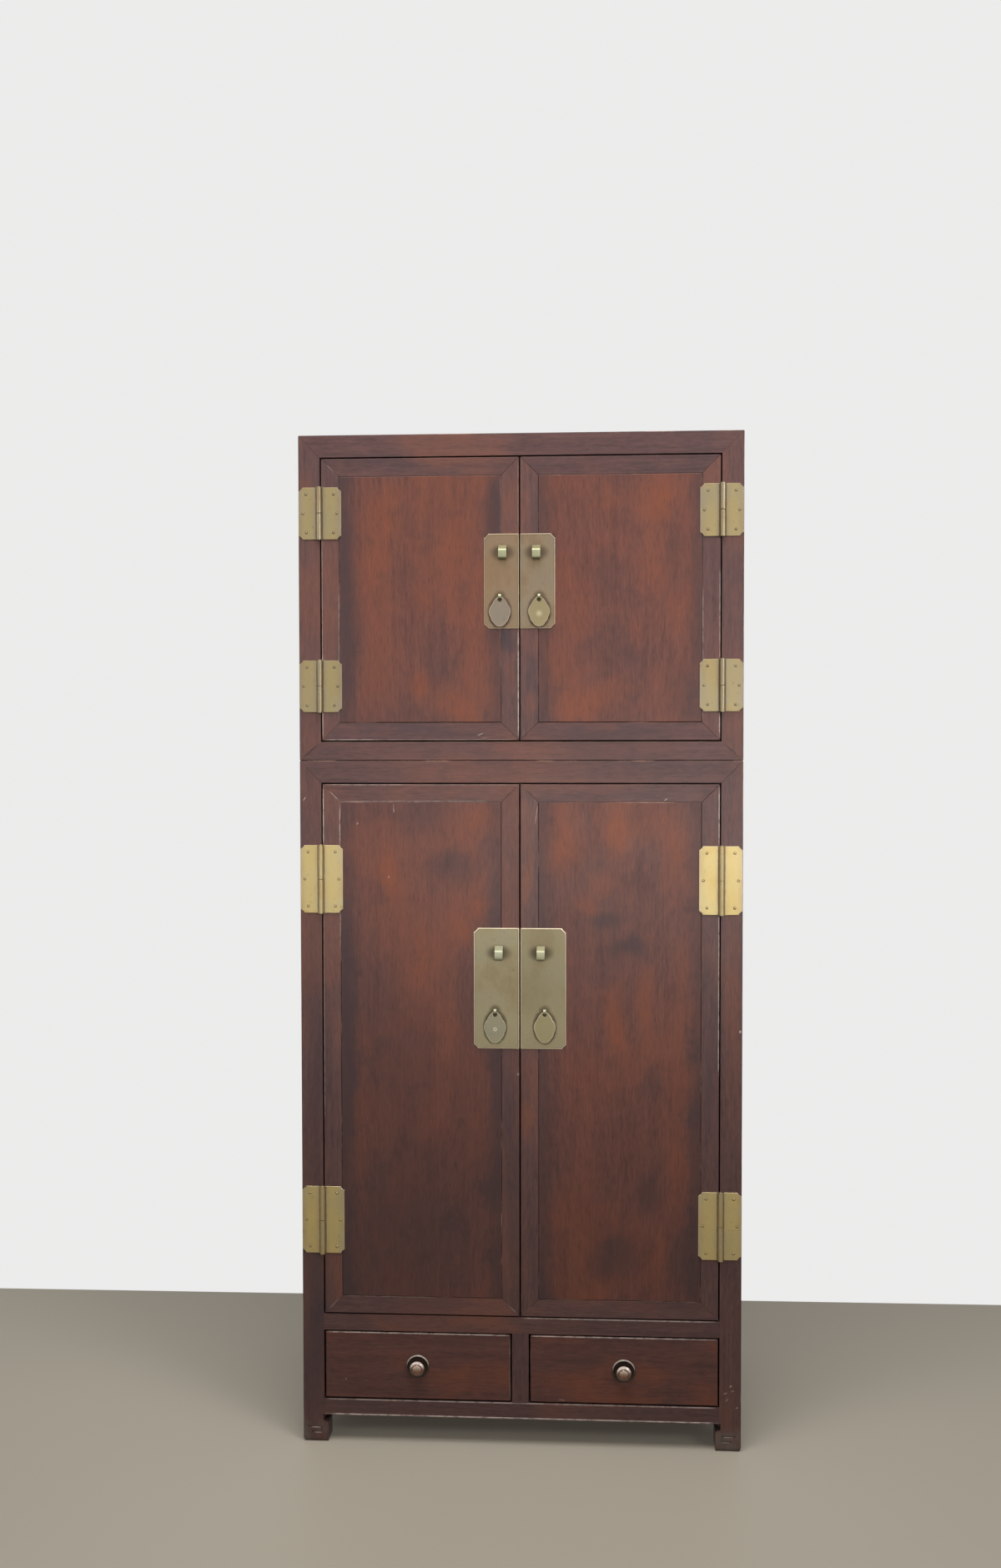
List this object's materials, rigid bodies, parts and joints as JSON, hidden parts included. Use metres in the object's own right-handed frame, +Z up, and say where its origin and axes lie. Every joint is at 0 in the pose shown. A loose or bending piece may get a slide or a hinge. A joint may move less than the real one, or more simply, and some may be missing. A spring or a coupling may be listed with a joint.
{
  "type": "two-part cabinet",
  "caption": "Tall hardwood cabinet: a chest with doors standing on a case with long doors over drawers, with brass hinges, lock plates and lobed drop handles.",
  "frame": {"origin": "on the floor, at the middle of the width and of the depth with the drawer knobs", "axes": "+Z up, front with doors and drawers faces -Y, +X to the right seen from the front"},
  "size_m": [0.75, 0.441, 1.726],
  "materials": {
    "frame_wood": "satin lacquer",
    "panel_wood": "satin lacquer",
    "inside_wood": "raw",
    "brass": "aged satin",
    "knob_wood": "polished"
  },
  "bodies": {
    "lower_cabinet": {"lower_front_left_post": "frame_wood", "lower_front_right_post": "frame_wood", "lower_back_frame": "frame_wood", "lower_top_front_rail": "frame_wood", "lower_side_rails": "frame_wood", "lower_top_board": "panel_wood", "door_sill_rail": "frame_wood", "bottom_front_rail": "frame_wood", "drawer_divider": "frame_wood", "lower_side_boards": "panel_wood", "lower_back_board": "inside_wood", "case_floor": "inside_wood", "shelf": "inside_wood", "board_bearers": "inside_wood", "drawer_runners": "inside_wood", "lower_frame_hinges": "brass", "lower_frame_nails": "brass"},
    "upper_cabinet": {"upper_front_left_post": "frame_wood", "upper_front_right_post": "frame_wood", "upper_back_frame": "frame_wood", "upper_top_front_rail": "frame_wood", "upper_bottom_front_rail": "frame_wood", "upper_side_rails": "frame_wood", "upper_top_board": "panel_wood", "upper_floor_board": "inside_wood", "upper_side_boards": "panel_wood", "upper_back_board": "inside_wood", "upper_frame_hinges": "brass", "upper_frame_nails": "brass"},
    "upper_left_door": {"upper_left_door_frame": "frame_wood", "upper_left_door_panel": "panel_wood", "upper_left_door_leaves": "brass", "upper_left_lock_plate": "brass", "upper_left_staple_and_eye": "brass"},
    "upper_left_drop": {"upper_left_drop_handle": "brass"},
    "upper_right_door": {"upper_right_door_frame": "frame_wood", "upper_right_door_panel": "panel_wood", "upper_right_door_leaves": "brass", "upper_right_lock_plate": "brass", "upper_right_staple_and_eye": "brass"},
    "upper_right_drop": {"upper_right_drop_handle": "brass"},
    "lower_left_door": {"lower_left_door_frame": "frame_wood", "lower_left_door_panel": "panel_wood", "lower_left_door_leaves": "brass", "lower_left_lock_plate": "brass", "lower_left_staple_and_eye": "brass"},
    "lower_left_drop": {"lower_left_drop_handle": "brass"},
    "lower_right_door": {"lower_right_door_frame": "frame_wood", "lower_right_door_panel": "panel_wood", "lower_right_door_leaves": "brass", "lower_right_lock_plate": "brass", "lower_right_staple_and_eye": "brass"},
    "lower_right_drop": {"lower_right_drop_handle": "brass"},
    "left_drawer": {"left_drawer_front": "panel_wood", "left_drawer_box": "inside_wood", "left_drawer_knob": "knob_wood"},
    "right_drawer": {"right_drawer_front": "panel_wood", "right_drawer_box": "inside_wood", "right_drawer_knob": "knob_wood"}
  },
  "joints": [
    {"name": "upper_cabinet_lift", "type": "slide", "parent": "lower_cabinet", "child": "upper_cabinet", "axis": [0, 0, 1], "range_m": [0, 0.15]},
    {"name": "upper_left_door_swing", "type": "hinge", "parent": "upper_cabinet", "child": "upper_left_door", "pos_m": [-0.33925, -0.2043, 1.44825], "axis": [0, 0, -1], "range_deg": [0, 165]},
    {"name": "upper_left_drop_swing", "type": "hinge", "parent": "upper_left_door", "child": "upper_left_drop", "pos_m": [-0.03305, -0.2055, 1.4522], "axis": [-1, 0, 0], "range_deg": [-3, 85]},
    {"name": "upper_right_door_swing", "type": "hinge", "parent": "upper_cabinet", "child": "upper_right_door", "pos_m": [0.33925, -0.2043, 1.44825], "axis": [0, 0, 1], "range_deg": [0, 165]},
    {"name": "upper_right_drop_swing", "type": "hinge", "parent": "upper_right_door", "child": "upper_right_drop", "pos_m": [0.03305, -0.2055, 1.4522], "axis": [-1, 0, 0], "range_deg": [-3, 85]},
    {"name": "lower_left_door_swing", "type": "hinge", "parent": "lower_cabinet", "child": "lower_left_door", "pos_m": [-0.33925, -0.2043, 0.681], "axis": [0, 0, -1], "range_deg": [0, 165]},
    {"name": "lower_left_drop_swing", "type": "hinge", "parent": "lower_left_door", "child": "lower_left_drop", "pos_m": [-0.04205, -0.2055, 0.751], "axis": [-1, 0, 0], "range_deg": [-3, 85]},
    {"name": "lower_right_door_swing", "type": "hinge", "parent": "lower_cabinet", "child": "lower_right_door", "pos_m": [0.33925, -0.2043, 0.681], "axis": [0, 0, 1], "range_deg": [0, 165]},
    {"name": "lower_right_drop_swing", "type": "hinge", "parent": "lower_right_door", "child": "lower_right_drop", "pos_m": [0.04205, -0.2055, 0.751], "axis": [-1, 0, 0], "range_deg": [-3, 85]},
    {"name": "left_drawer_slide", "type": "slide", "parent": "lower_cabinet", "child": "left_drawer", "axis": [0, -1, 0], "range_m": [0, 0.28]},
    {"name": "right_drawer_slide", "type": "slide", "parent": "lower_cabinet", "child": "right_drawer", "axis": [0, -1, 0], "range_m": [0, 0.28]}
  ]
}
